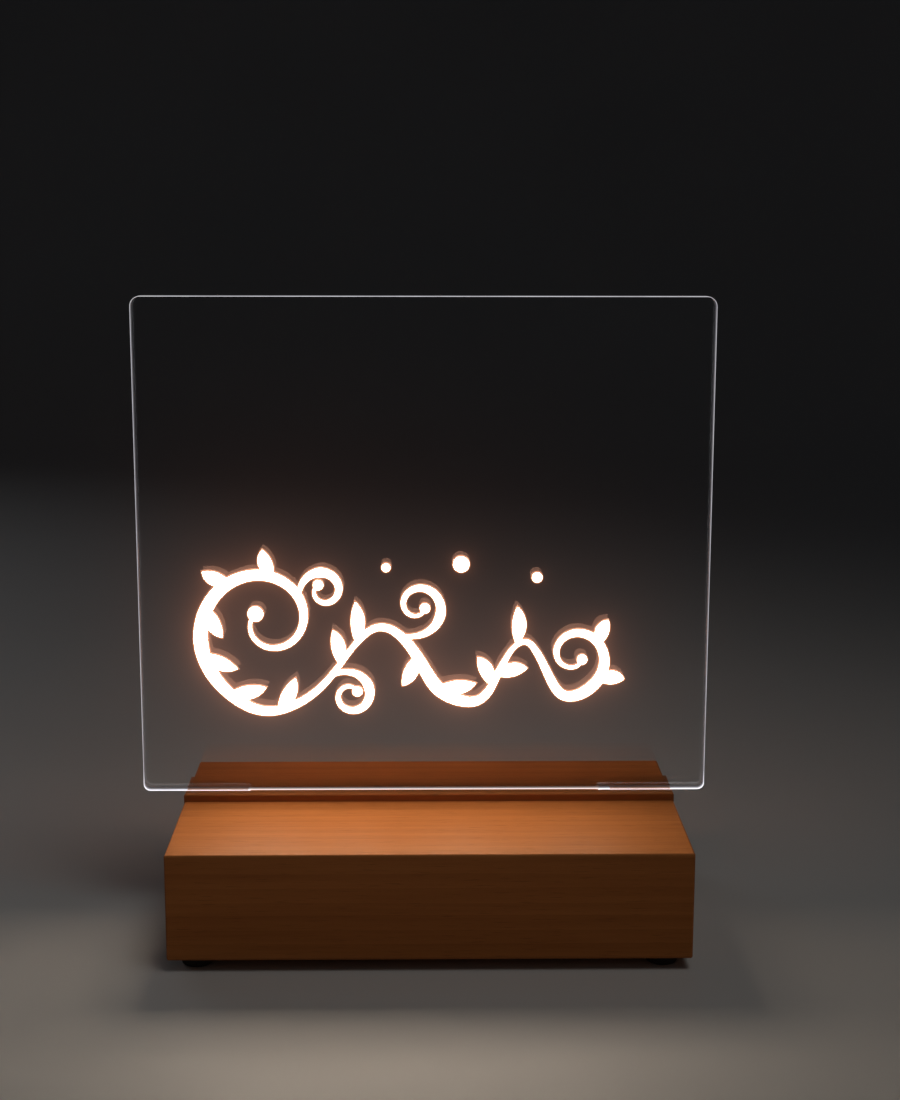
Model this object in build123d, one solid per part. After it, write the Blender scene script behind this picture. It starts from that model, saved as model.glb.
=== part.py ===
from build123d import *

import math
import os

# Edge-lit desk sign: a clear panel stands in the slot of a hardwood lamp base.
# Millimetres. +Z is up, +Y points away from the viewer, and the origin is on the table, under the middle
# of the panel and midway between the base's front and back.

# Lamp base, outside
base_width = 150.0
front_ledge = 47.0
rail_depth = 20.0
rear_ledge = 23.0
block_height = 31.5
block_ease_radius = 0.7
rail_rise_height = 2.3
rail_groove_depth = 4.0
rail_ease_radius = 0.5

# Rubber feet
foot_height = 3.5
foot_diameter = 10.0
foot_taper_width = 0.5
foot_ease_radius = 0.6
foot_inset_width = 8.0

# Clear panel
panel_width = 172.5
panel_height = 151.0
panel_thickness = 5.0
panel_setback = 4.0
panel_top_radius = 3.0
panel_shoulder_radius = 2.0
panel_ease_width = 0.25
tab_length = 108.0
tab_depth = 12.0
tab_radius = 1.5
tab_gap = 0.3
tab_wide_gap = 3.3
slot_clearance = 0.2

# Engraved ornament: a leafy vine that begins in a large scroll and ends in a small one
engraving_depth = 0.3
motif_width = 131.0
motif_height = 51.0
motif_margin_width = 15.5
motif_lift_height = 24.0
pen_bold_width = 5.0
scroll_radius = 27.5
scroll_inner_radius = 4.8
scroll_bud_radius = 2.7
curl_radius = 13.0
curl_inner_radius = 3.0
tendril_inner_radius = 2.5
bud_radius = 1.9
leaf_width = 4.8
spark_radius = 2.8
# Places along the stem between its two scrolls, as shares of the ornament's width and height
stem_shares = [(0.290, 0.150), (0.358, 0.360), (0.440, 0.540), (0.520, 0.375), (0.587, 0.130),
               (0.662, 0.086), (0.718, 0.290), (0.771, 0.450), (0.824, 0.270)]
scroll_place_shares = (0.18, 0.565)
curl_place_shares = (0.886, 0.365)
# The pen's width along the stem, as shares of the boldest width
stem_pen_shares = [(0, 0.32), (0.12, 0.68), (0.28, 1.0), (0.40, 0.64), (0.49, 0.44), (0.55, 0.64),
                   (0.62, 0.96), (0.68, 0.64), (0.735, 0.42), (0.78, 0.60), (0.85, 0.84), (0.93, 0.6),
                   (1, 0.3)]
tendril_pen_shares = [(0, 0.3), (0.35, 0.72), (1, 0.3)]
# Tendrils: place along the stem, side, radius as a share of the ornament's height, turns
tendril_shares = [(0.118, -1, 0.150, 1.2), (0.455, -1, 0.165, 1.3), (0.550, 1, 0.205, 1.3)]
# Leaves: place along the stem, turn from its direction in degrees, length as a share of the height
leaf_shares = [(0.155, -50, 0.19), (0.200, -50, 0.19), (0.235, 52, 0.22), (0.285, 52, 0.24),
               (0.335, 52, 0.24), (0.390, 52, 0.24), (0.472, 46, 0.23), (0.500, 40, 0.27),
               (0.580, -56, 0.22), (0.620, 54, 0.25), (0.688, 54, 0.21), (0.700, -50, 0.20),
               (0.738, 44, 0.25), (0.860, -50, 0.17), (0.900, -50, 0.17)]
# Free dots above the vine: place as shares, radius as a share of the largest
spark_shares = [(0.625, 0.92, 1.0), (0.452, 0.90, 0.6), (0.80, 0.84, 0.68)]
leaf_belly_share = 0.42
leaf_lean_share = 0.35
scroll_turns = 1.34
scroll_start_angle = 266
scroll_steps = 18
curl_turns = 1.2
curl_start_angle = 262
curl_steps = 12
tendril_steps = 12
tendril_samples = 20
stem_samples = 72

# Hollow in the block
top_wood_thickness = 8.0
cavity_end_gap = 0.5
cavity_radius = 2.0
boss_radius = 6.0
boss_inset_x = 1.0
boss_inset_y = 0.5

# Bottom cover
cover_thickness = 3.0
cover_rim_width = 4.0
cover_radius = 5.0
cover_gap = 0.2

# Lamp channel, lamp board and chips
channel_end_length = 1.7
channel_width = 14.0
channel_flange_width = 6.0
flange_thickness = 1.6
trough_width = 8.6
trough_floor_thickness = 2.0
trough_end_thickness = 1.75
lamp_board_width = 8.0
lamp_board_thickness = 1.0
chip_count = 11
chip_length = 3.5
chip_width = 2.8
chip_height = 0.8
lens_radius = 1.1
lens_height = 0.1
lamp_gap = 0.8
resistor_length = 1.6
resistor_width = 0.8
resistor_height = 0.5

# Power inlet and its rear bezel
bezel_length = 47.0
bezel_height = 16.0
bezel_thickness = 2.0
bezel_radius = 3.0
bezel_sink_depth = 0.3
bezel_gap = 0.1
bezel_center_height = 15.75
window_height = 12.0
board_rail_thickness = 2.2
board_rail_lip_thickness = 1.4
board_groove_depth = 0.8
grip_gap = 0.2
inlet_width = 8.94
inlet_height = 3.26
inlet_depth = 7.35
inlet_wall_thickness = 0.3
inlet_radius = 1.6
inlet_gap = 0.15
inlet_offset = 8.0
tongue_width = 6.7
tongue_thickness = 0.7
tongue_length = 4.8

# Control board
control_width = 31.6
control_thickness = 1.6
board_front_gap = 2.45
board_end_gap = 0.4
# Parts on the control board: middle x, middle share of the board's depth, length, width, height
component_shares = [(0.00, 0.20, 0.16, 0.19, 0.40), (0.28, 0.30, 0.17, 0.20, 0.75),
                    (-0.30, 0.22, 0.13, 0.10, 0.35), (-0.22, 0.42, 0.06, 0.09, 0.28),
                    (0.05, 0.48, 0.07, 0.05, 0.22), (-0.02, 0.66, 0.06, 0.10, 0.30)]

# Power button and switch
button_offset = 8.0
button_radius = 3.0
button_clearance = 0.05
button_travel = 1.2
button_flange_width = 0.8
button_flange_thickness = 0.9
button_ease_radius = 0.4
dish_radius = 4.3
dish_depth = 0.6
switch_width = 7.0
switch_depth = 7.0
plunger_radius = 1.1
plunger_hold_length = 2.5
switch_spare_length = 0.4

# Battery cells, tray and contacts
cell_diameter = 10.5
cell_length = 44.5
cell_count = 3
cell_gap = 0.4
cell_edge_radius = 0.5
nub_diameter = 3.8
nub_height = 0.9
bay_offset = 6.05
lead_room_width = 2.85
front_room_width = 3.05
rear_room_width = 7.85
tray_wall_thickness = 1.2
tray_top_thickness = 1.4
tray_rib_width = 1.0
tray_rib_height = 2.0
cell_head_gap = 0.35
lug_length = 7.0
lug_width = 4.4
lug_thickness = 1.2
lug_spacing = 24.0
contact_thickness = 0.3
contact_width = 8.0
contact_gap = 0.1
tag_width = 3.0
tag_length = 5.4
tag_drop_height = 1.2
tag_clearance = 0.05
spring_length = 2.6
spring_wire_diameter = 0.5
spring_turns = 2.5
spring_wide_radius = 3.6
spring_narrow_radius = 2.2

# Battery door
door_thickness = 1.7
door_sink_depth = 0.1
door_overlap_x = 3.0
door_overlap_y = 1.5
door_tongue_width = 1.0
door_tongue_thickness = 0.7
door_gap = 0.15
door_cell_gap = 0.4
grip_count = 5
grip_width = 1.0
grip_pitch = 2.2
grip_length = 18.0
grip_depth = 0.4
grip_inset = 5.0

# Fasteners
cover_screw_diameter = 2.9
cover_screw_length = 12.0
cover_screw_head_diameter = 5.6
bezel_screw_diameter = 2.2
bezel_screw_length = 9.0
bezel_screw_head_diameter = 4.2
channel_screw_length = 5.0
tray_screw_length = 3.2
small_screw_diameter = 1.8
small_screw_head_diameter = 3.6
small_head_height = 0.9
screw_clearance = 0.04
recess_width_share = 0.14
recess_depth_share = 0.55
bezel_screw_edge = 3.2
channel_screw_edge = 7.5

# Leads inside the base
lead_diameter = 1.1
lead_clearance = 0.05
lead_gap = 1.45
lead_bend_share = 0.45
lamp_lead_offset = 30.0
lamp_lead_end_offset = 11.0
lead_end_inset = 5.0
far_lead_end_offset = 9.0
lead_lane_width = 3.2
lead_slot_width = 5.0
clip_length = 4.0
clip_wall_thickness = 0.7
clip_spacing = 20.0

# Shared machining values
overrun = 1.0
base_depth = front_ledge + rail_depth + rear_ledge

# Heights, from the table up
block_bottom = foot_height
block_top = block_bottom + block_height
rail_bottom = block_top - rail_groove_depth
rail_top = block_top + rail_rise_height
cavity_top = block_top - top_wood_thickness
cover_top = block_bottom + cover_thickness
tab_bottom = rail_top - tab_depth
chip_top = tab_bottom - lamp_gap
lamp_board_top = chip_top - chip_height
trough_top = lamp_board_top - lamp_board_thickness
trough_bottom = trough_top - trough_floor_thickness
inlet_z = block_bottom + bezel_center_height
control_top = inlet_z - inlet_height / 2
control_bottom = control_top - control_thickness
door_bottom = block_bottom + door_sink_depth
door_top = door_bottom + door_thickness
track_top = door_top + door_sink_depth
lip_top = door_top - door_tongue_thickness - door_sink_depth
cell_z = door_top + door_cell_gap + cell_diameter / 2
tray_ceiling = cell_z + cell_diameter / 2 + cell_head_gap
tray_roof = tray_ceiling + tray_top_thickness

# Places along the base, measured from the base's own middle
slot_length = tab_length + tab_gap + tab_wide_gap
channel_length = slot_length + 2 * channel_end_length
cell_pitch = cell_diameter + cell_gap
bay_length = cell_length + spring_length + 2 * contact_thickness + 2 * contact_gap
bay_width = cell_count * cell_pitch
bay_right = -bay_offset
bay_left = bay_right - bay_length
bay_x = (bay_left + bay_right) / 2
tray_room = 2 * (tray_wall_thickness + lead_room_width - bay_left)
cavity_length = max(channel_length + 2 * cavity_end_gap, tray_room)
tray_edge_width = tray_wall_thickness + lug_width
tray_width = bay_width + 2 * tray_edge_width
cavity_depth = front_room_width + tray_width + lead_lane_width + rear_room_width
bay_y = front_room_width + tray_width / 2 - cavity_depth / 2
base_x = (tab_wide_gap - tab_gap) / 2
boss_x = cavity_length / 2 - boss_inset_x
boss_y = cavity_depth / 2 - boss_inset_y
foot_x = base_width / 2 - foot_inset_width
foot_y = base_depth / 2 - foot_inset_width
board_rail_inner = control_width / 2 - board_groove_depth
board_rail_outer = board_rail_inner + board_rail_thickness
window_half = board_rail_outer + grip_gap
bezel_screw_x = bezel_length / 2 - bezel_screw_edge
channel_screw_x = channel_length / 2 - channel_screw_edge
channel_screw_y = channel_width / 2 + channel_flange_width / 2
door_length = bay_length + 2 * door_overlap_x
door_width = bay_width + 2 * door_overlap_y
door_travel = bay_length + door_overlap_x
door_left = bay_x - door_length / 2
lug_x = lug_spacing / 2
lug_screw_y = tray_width / 2 - small_screw_head_diameter / 2
chip_pitch = tab_length / chip_count
motif_left = -panel_width / 2 + motif_margin_width
motif_foot = rail_top + motif_lift_height
lead_z = cover_top + lead_diameter / 2 + lead_clearance

# Depths, from the front to the back
base_front = -base_depth / 2
base_back = base_depth / 2
rail_front = base_front + front_ledge
rail_back = rail_front + rail_depth
panel_front = rail_front + panel_setback
panel_back = panel_front + panel_thickness
slot_y = (panel_front + panel_back) / 2
slot_width = panel_thickness + 2 * slot_clearance
bezel_face = base_back - bezel_sink_depth
bezel_back = bezel_face - bezel_thickness
control_back = bezel_back - board_end_gap
control_front = bay_y + bay_width / 2 + tray_wall_thickness + board_front_gap
button_stop = bezel_back - button_clearance
switch_back = button_stop - button_flange_thickness - button_travel - switch_spare_length
switch_front = switch_back - switch_depth

corner_align = (Align.MIN, Align.MIN, Align.MIN)
upward = (Align.CENTER, Align.CENTER, Align.MIN)


def span(x0, x1, y0, y1, z0, z1):
    """A box between two planes each way."""
    return Pos(x0, y0, z0) * Box(x1 - x0, y1 - y0, z1 - z0, align=corner_align)


def flat_plate(length, width, corner, low, high, x=0, y=0):
    """A lying plate with rounded upright corners, between two heights."""
    return Pos(x, y, low) * extrude(RectangleRounded(length, width, corner), high - low)


def upright_plate(length, height, corner, front, back, x, z):
    """A standing plate with rounded corners, between two depths."""
    return Pos(x, back, z) * Rot(90, 0, 0) * extrude(RectangleRounded(length, height, corner), back - front)


def post(radius, low, high, x, y):
    """A round post or hole that stands on Z, between two heights."""
    return Pos(x, y, low) * Cylinder(radius, high - low, align=upward)


def spindle(radius, front, back, x, z):
    """A round pin or hole that lies on Y, between two depths."""
    return Pos(x, front, z) * Rot(-90, 0, 0) * Cylinder(radius, back - front, align=upward)


def four_corners(x, y):
    """The four places at the corners of a rectangle."""
    return [(side * x, end * y) for side in (-1, 1) for end in (-1, 1)]


def cross_recess(head, height):
    """The cross cut into a screw's head, open at z zero and going up."""
    width = head * recess_width_share
    reach = head / 2 * (1 - recess_width_share)
    depth = height * recess_depth_share
    arm = Pos(0, 0, -overrun) * Box(reach, width, depth + overrun, align=upward)
    return arm + Rot(0, 0, 90) * arm


def countersunk_screw(diameter, head, length):
    """A countersunk wood screw that points up, with its head's face at z zero."""
    cone = (head - diameter) / 2
    body = Cone(head / 2, diameter / 2, cone, align=upward)
    body += Pos(0, 0, cone) * Cylinder(diameter / 2, length - cone - diameter, align=upward)
    body += Pos(0, 0, length - diameter) * Cone(diameter / 2, diameter / 8, diameter, align=upward)
    return body - cross_recess(head, cone * 2)


def countersunk_hole(diameter, head, length):
    """The hole that a countersunk screw sits in."""
    cone = (head - diameter) / 2
    wide = diameter / 2 + screw_clearance
    hole = Pos(0, 0, -screw_clearance) * Cone(head / 2 + screw_clearance, wide, cone, align=upward)
    hole += Pos(0, 0, -overrun) * Cylinder(head / 2 + screw_clearance, overrun, align=upward)
    return hole + Cylinder(wide, length + screw_clearance, align=upward)


def pan_screw(length):
    """A small pan head screw that points up, with its head below z zero."""
    below = Pos(0, 0, -small_head_height)
    head = below * Cylinder(small_screw_head_diameter / 2, small_head_height, align=upward)
    shank = Cylinder(small_screw_diameter / 2, length, align=upward)
    return head + shank - below * cross_recess(small_screw_head_diameter, small_head_height)


def screw_bore(low, high, x, y):
    """The hole for a small screw, between two heights."""
    return post(small_screw_diameter / 2 + screw_clearance, low, high, x, y)


def ring_edges(shape, axis, pick):
    """The edges round a shape's first or last face along an axis."""
    return shape.faces().sort_by(axis)[pick].edges()


# The base


def make_base_block():
    """Hardwood block, hollowed from below, with a groove across its top for the rail."""
    block = Pos(0, 0, block_bottom) * Box(base_width, base_depth, block_height, align=upward)
    block = fillet(block.edges(), block_ease_radius)
    block -= span(-base_width, base_width, rail_front, rail_back, rail_bottom, block_top + overrun)
    block -= make_cavity()
    rebate_length = cavity_length + 2 * cover_rim_width
    rebate_width = cavity_depth + 2 * cover_rim_width
    block -= flat_plate(rebate_length, rebate_width, cover_radius, block_bottom - overrun, cover_top)
    block -= make_slot(cavity_top)
    block -= make_rear_window()
    for x, y in four_corners(boss_x, boss_y):
        length = cover_screw_length - cover_thickness
        block -= post(cover_screw_diameter / 2 + screw_clearance, cover_top, cover_top + length, x, y)
    for x, y in four_corners(channel_screw_x, channel_screw_y):
        reach = channel_screw_length - flange_thickness + screw_clearance
        block -= screw_bore(cavity_top - overrun, cavity_top + reach, x, slot_y + y)
    return block


def make_slot(low):
    """The slot for the panel's tab, from below a height up through the rail's top."""
    half, wide = slot_length / 2, slot_width / 2
    return span(-half, half, slot_y - wide, slot_y + wide, low - overrun, rail_top + overrun)


def make_cavity():
    """The hollow for the lamp parts, with a boss left in each corner for the cover's screws."""
    hollow = flat_plate(cavity_length, cavity_depth, cavity_radius, block_bottom - overrun, cavity_top)
    for x, y in four_corners(boss_x, boss_y):
        hollow -= post(boss_radius, block_bottom - 2 * overrun, cavity_top + overrun, x, y)
    return hollow


def make_rear_window():
    """The opening behind the rear bezel, and the pocket and pilot holes that hold it."""
    low, high = inlet_z - window_height / 2, inlet_z + window_height / 2
    cut = span(-window_half, window_half, cavity_depth / 2 - overrun, bezel_back + overrun, low, high)
    pocket_length = bezel_length + 2 * bezel_gap
    pocket_height = bezel_height + 2 * bezel_gap
    cut += upright_plate(pocket_length, pocket_height, bezel_radius,
                         bezel_back, base_back + overrun, 0, inlet_z)
    for side in (-1, 1):
        start = bezel_face - bezel_screw_length - screw_clearance
        radius = bezel_screw_diameter / 2 + screw_clearance
        cut += spindle(radius, start, bezel_back + overrun, side * bezel_screw_x, inlet_z)
    return cut


def make_lamp_rail():
    """Hardwood strip glued into the block's groove, with the slot that the panel stands in."""
    rail = span(-base_width / 2, base_width / 2, rail_front, rail_back, rail_bottom, rail_top)
    rail = fillet(ring_edges(rail, Axis.Z, -1), rail_ease_radius)
    return rail - make_slot(rail_bottom)


def make_rubber_feet():
    """Four soft feet stuck under the block's corners."""
    top = foot_diameter / 2
    foot = Cone(top - foot_taper_width, top, foot_height, align=upward)
    foot = fillet(ring_edges(foot, Axis.Z, 0), foot_ease_radius)
    return Compound([Pos(x, y, 0) * foot for x, y in four_corners(foot_x, foot_y)])


# The panel and its engraving


def panel_sketch():
    """The panel's outline from the front: a square sheet with a tab below its shoulders."""
    sheet = Pos(0, rail_top + panel_height / 2) * Rectangle(panel_width, panel_height)
    corners = sheet.vertices().group_by(Axis.Y)
    sheet = fillet(corners[-1], panel_top_radius)
    sheet = fillet(sheet.vertices().group_by(Axis.Y)[0], panel_shoulder_radius)
    tab = Pos(0, tab_bottom + tab_depth) * Rectangle(tab_length, 2 * tab_depth)
    tab = fillet(tab.vertices().group_by(Axis.Y)[0], tab_radius)
    return sheet + tab


def face_forward(sketch, y):
    """A sketch turned to stand up and face the front at one depth."""
    return Pos(0, y, 0) * Rot(90, 0, 0) * sketch


def make_acrylic_panel(engraving):
    """Clear sheet with eased edges, and the pocket cut into its front face."""
    panel = extrude(face_forward(panel_sketch(), panel_back), panel_thickness)
    rims = ring_edges(panel, Axis.Y, 0) + ring_edges(panel, Axis.Y, -1)
    panel = chamfer(rims, panel_ease_width)
    return panel - engraving


def pen_width(place, widths):
    """The pen's width at a place along a stroke, from a list of (place, width)."""
    for (a, low), (b, high) in zip(widths, widths[1:]):
        if place <= b:
            return low + (high - low) * (place - a) / (b - a)
    return widths[-1][1]


def pen_stroke(path, widths, steps):
    """A stroke of the pen: the path widened to both sides."""
    left, right = [], []
    for step in range(steps + 1):
        place = step / steps
        along = path % place
        across = Vector(-along.Y, along.X) * pen_width(place, widths) / 2
        left.append(path @ place + across)
        right.append(path @ place - across)
    right.reverse()
    return make_face([Spline(*left), Line(left[-1], right[0]), Spline(*right), Line(right[-1], left[0])])


def scroll_points(x, y, outer, inner, start, turns, steps):
    """Places along a scroll that winds in towards its heart."""
    places = []
    for step in range(steps + 1):
        share = step / steps
        radius = outer * (inner / outer) ** share
        angle = math.radians(start + 360 * turns * share)
        places.append((x + radius * math.cos(angle), y + radius * math.sin(angle)))
    return places


def heading(path, place):
    """The direction of a path at a place, in degrees."""
    along = path % place
    return math.degrees(math.atan2(along.Y, along.X))


def bud(center, radius):
    """A round bud at the end of a scroll."""
    return Pos(center[0], center[1]) * Circle(radius)


def tendril(stem, place, side, radius, turns):
    """A scroll that leaves the stem along the stem's own direction, and ends in a bud."""
    start = stem @ place
    toward = math.radians(heading(stem, place) + 90 * side)
    x = start.X + radius * math.cos(toward)
    y = start.Y + radius * math.sin(toward)
    first = heading(stem, place) - 90 * side
    places = scroll_points(x, y, radius, tendril_inner_radius, first, turns * side, tendril_steps)
    widths = [(share, pen_bold_width * bold) for share, bold in tendril_pen_shares]
    return [pen_stroke(Spline(*places), widths, tendril_samples), bud(places[-1], bud_radius)]


def leaf(stem, place, turn, length):
    """A pointed leaf whose foot lies on the stem."""
    start = stem @ place
    angle = heading(stem, place) + turn
    belly = leaf_width * (1 + leaf_lean_share) / 2
    back = leaf_width * (1 - leaf_lean_share) / 2
    if turn > 0:
        belly, back = back, belly
    upper = ThreePointArc((0, 0), (length * leaf_belly_share, belly), (length, 0))
    lower = ThreePointArc((length, 0), (length * leaf_belly_share, -back), (0, 0))
    return Pos(start.X, start.Y) * Rot(0, 0, angle) * make_face([upper, lower])


def motif_place(across, up):
    """A place in the ornament, from its shares of the ornament's width and height."""
    return across * motif_width, up * motif_height


def motif_sketch():
    """The ornament, drawn flat in its own width and height."""
    scroll = scroll_points(*motif_place(*scroll_place_shares), scroll_radius, scroll_inner_radius,
                           scroll_start_angle, -scroll_turns, scroll_steps)
    curl = scroll_points(*motif_place(*curl_place_shares), curl_radius, curl_inner_radius,
                         curl_start_angle, curl_turns, curl_steps)
    scroll.reverse()
    stem = Spline(*scroll, *[motif_place(*shares) for shares in stem_shares], *curl)
    widths = [(place, pen_bold_width * bold) for place, bold in stem_pen_shares]
    faces = [pen_stroke(stem, widths, stem_samples)]
    faces.append(bud(scroll[0], scroll_bud_radius))
    faces.append(bud(curl[-1], bud_radius))
    for place, side, radius, turns in tendril_shares:
        faces += tendril(stem, place, side, radius * motif_height, turns)
    for place, turn, length in leaf_shares:
        faces.append(leaf(stem, place, turn, length * motif_height))
    for across, up, size in spark_shares:
        faces.append(bud(motif_place(across, up), size * spark_radius))
    sketch = faces[0]
    for face in faces[1:]:
        sketch += face
    return sketch


def make_engraved_motif():
    """White lacquer that fills the engraving, level with the panel's front face."""
    drawn = Pos(motif_left, motif_foot) * motif_sketch()
    return extrude(face_forward(drawn, panel_front), -engraving_depth)


# Lamps under the slot


def make_lamp_channel():
    """Moulded trough below the slot, hung from the cavity's ceiling by two flanges."""
    half = channel_length / 2
    wide = channel_width / 2
    channel = span(-half, half, slot_y - wide, slot_y + wide, trough_bottom, cavity_top)
    reach = wide + channel_flange_width
    channel += span(-half, half, slot_y - reach, slot_y + reach, cavity_top - flange_thickness, cavity_top)
    inner, end = trough_width / 2, half - trough_end_thickness
    channel -= span(-end, end, slot_y - inner, slot_y + inner, trough_top, cavity_top + overrun)
    hole = lead_slot_width / 2
    channel -= span(lamp_lead_offset - hole, lamp_lead_offset + hole, slot_y - hole, slot_y + hole,
                    trough_bottom - overrun, trough_top + overrun)
    for x, y in four_corners(channel_screw_x, channel_screw_y):
        channel -= screw_bore(cavity_top - flange_thickness - overrun, cavity_top + overrun, x, slot_y + y)
    return channel


def make_channel_screws():
    """Four small screws up through the channel's flanges into the wood."""
    screw = pan_screw(channel_screw_length)
    start = cavity_top - flange_thickness
    places = four_corners(channel_screw_x, channel_screw_y)
    return Compound([Pos(x, slot_y + y, start) * screw for x, y in places])


def make_lamp_board():
    """Narrow board on the trough's floor that carries the lamps."""
    half = tab_length / 2
    wide = lamp_board_width / 2
    return span(-half, half, slot_y - wide, slot_y + wide, trough_top, lamp_board_top)


def chip_places():
    """Where the lamps stand along their board."""
    return [(step - (chip_count - 1) / 2) * chip_pitch for step in range(chip_count)]


def make_lamp_chips():
    """The row of lamps, each with its round window of phosphor."""
    chip = Box(chip_length, chip_width, chip_height - lens_height, align=upward)
    chip += Pos(0, 0, chip_height - lens_height) * Cylinder(lens_radius, lens_height, align=upward)
    return Compound([Pos(x, slot_y, lamp_board_top) * chip for x in chip_places()])


def make_lamp_resistors():
    """One resistor between each two lamps."""
    piece = Box(resistor_length, resistor_width, resistor_height, align=upward)
    places = [x + chip_pitch / 2 for x in chip_places()[:-1]]
    return Compound([Pos(x, slot_y, lamp_board_top) * piece for x in places])


# Rear bezel, inlet, board and button


def make_rear_bezel():
    """Black plate with the inlet's and the button's holes, and two grooved rails for the control board."""
    bezel = upright_plate(bezel_length, bezel_height, bezel_radius, bezel_back, bezel_face, 0, inlet_z)
    for side in (-1, 1):
        inner, outer = sorted((side * board_rail_inner, side * board_rail_outer))
        bezel += span(inner, outer, control_front, bezel_back,
                      control_bottom - board_rail_lip_thickness, control_top + board_rail_lip_thickness)
    reach = control_width / 2 + grip_gap
    bezel -= span(-reach, reach, control_front - overrun, bezel_back,
                  control_bottom - screw_clearance, control_top + screw_clearance)
    width, height = inlet_width + 2 * inlet_gap, inlet_height + 2 * inlet_gap
    bezel -= upright_plate(width, height, inlet_radius, bezel_back - overrun, bezel_face + overrun,
                           -inlet_offset, inlet_z)
    bezel -= spindle(button_radius + button_clearance, bezel_back - overrun, bezel_face + overrun,
                     button_offset, inlet_z)
    bezel -= spindle(dish_radius, bezel_face - dish_depth, bezel_face + overrun, button_offset, inlet_z)
    for side in (-1, 1):
        bezel -= bezel_screw_place(side) * countersunk_hole(
            bezel_screw_diameter, bezel_screw_head_diameter, bezel_screw_length)
    return bezel


def bezel_screw_place(side):
    """Where a bezel screw's head sits, pointing into the block."""
    return Pos(side * bezel_screw_x, bezel_face, inlet_z) * Rot(90, 0, 0)


def make_bezel_screws():
    """Two countersunk screws that hold the bezel in its pocket."""
    screw = countersunk_screw(bezel_screw_diameter, bezel_screw_head_diameter, bezel_screw_length)
    return Compound([bezel_screw_place(side) * screw for side in (-1, 1)])


def make_control_board():
    """Board that slides into the bezel's rails, notched behind the button."""
    half = control_width / 2
    board = span(-half, half, control_front, control_back, control_bottom, control_top)
    notch = button_radius + button_flange_width + grip_gap
    return board - span(button_offset - notch, button_offset + notch, switch_back - grip_gap,
                        control_back + overrun, control_bottom - overrun, control_top + overrun)


def make_board_components():
    """The driver chip, coil and small parts on the control board."""
    depth = control_back - control_front
    parts = []
    for across, along, length, width, height in component_shares:
        x = across * control_width
        y = control_front + along * depth
        piece = Box(length * control_width, width * depth, height * inlet_height, align=upward)
        parts.append(Pos(x, y, control_top) * piece)
    return Compound(parts)


def make_inlet_shell():
    """Metal shell of the power inlet, closed at its inner end."""
    back = bezel_face - bezel_sink_depth
    front = back - inlet_depth
    shell = upright_plate(inlet_width, inlet_height, inlet_radius, front, back, -inlet_offset, inlet_z)
    wall = inlet_wall_thickness
    return shell - upright_plate(inlet_width - 2 * wall, inlet_height - 2 * wall, inlet_radius - wall,
                                 front + wall, back + overrun, -inlet_offset, inlet_z)


def make_inlet_tongue():
    """Contact tongue inside the inlet's shell."""
    front = bezel_face - bezel_sink_depth - inlet_depth + inlet_wall_thickness
    half, thin = tongue_width / 2, tongue_thickness / 2
    return span(-inlet_offset - half, -inlet_offset + half, front, front + tongue_length,
                inlet_z - thin, inlet_z + thin)


def make_switch_body():
    """Body of the push switch on the control board, with the plunger's bore."""
    half = switch_width / 2
    body = span(button_offset - half, button_offset + half, switch_front, switch_back,
                control_top, control_top + inlet_height)
    bore_end = switch_back - plunger_hold_length - button_travel - switch_spare_length
    return body - spindle(plunger_radius + button_clearance, bore_end, switch_back + overrun,
                          button_offset, inlet_z)


def make_switch_plunger():
    """Plunger of the push switch, between its body and the button."""
    front = switch_back - plunger_hold_length
    return spindle(plunger_radius, front, button_stop - button_flange_thickness, button_offset, inlet_z)


def make_power_button():
    """Round button cap with the flange that keeps it behind the bezel."""
    flange_front = button_stop - button_flange_thickness
    cap = spindle(button_radius, flange_front, bezel_face, button_offset, inlet_z)
    cap = fillet(ring_edges(cap, Axis.Y, -1), button_ease_radius)
    flange_radius = button_radius + button_flange_width
    return cap + spindle(flange_radius, flange_front, button_stop, button_offset, inlet_z)


# Battery cells and what holds them


def cell_places():
    """The middle of each cell across the tray, and which way its nub points."""
    places = []
    for step in range(cell_count):
        y = bay_y + (step - (cell_count - 1) / 2) * cell_pitch
        places.append((y, -1 if step % 2 == 0 else 1))
    return places


def make_battery_cells():
    """The cells side by side, turned end for end in series."""
    can = Cylinder(cell_diameter / 2, cell_length - nub_height, align=upward)
    can = fillet(can.edges().filter_by(GeomType.CIRCLE), cell_edge_radius)
    can += Pos(0, 0, cell_length - nub_height) * Cylinder(nub_diameter / 2, nub_height, align=upward)
    cells = []
    for y, way in cell_places():
        nub_end = bay_x + way * (bay_length / 2 - contact_thickness - contact_gap)
        start = nub_end - way * cell_length
        cells.append(Pos(start, y, cell_z) * Rot(0, 90 * way, 0) * can)
    return Compound(cells)


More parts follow.
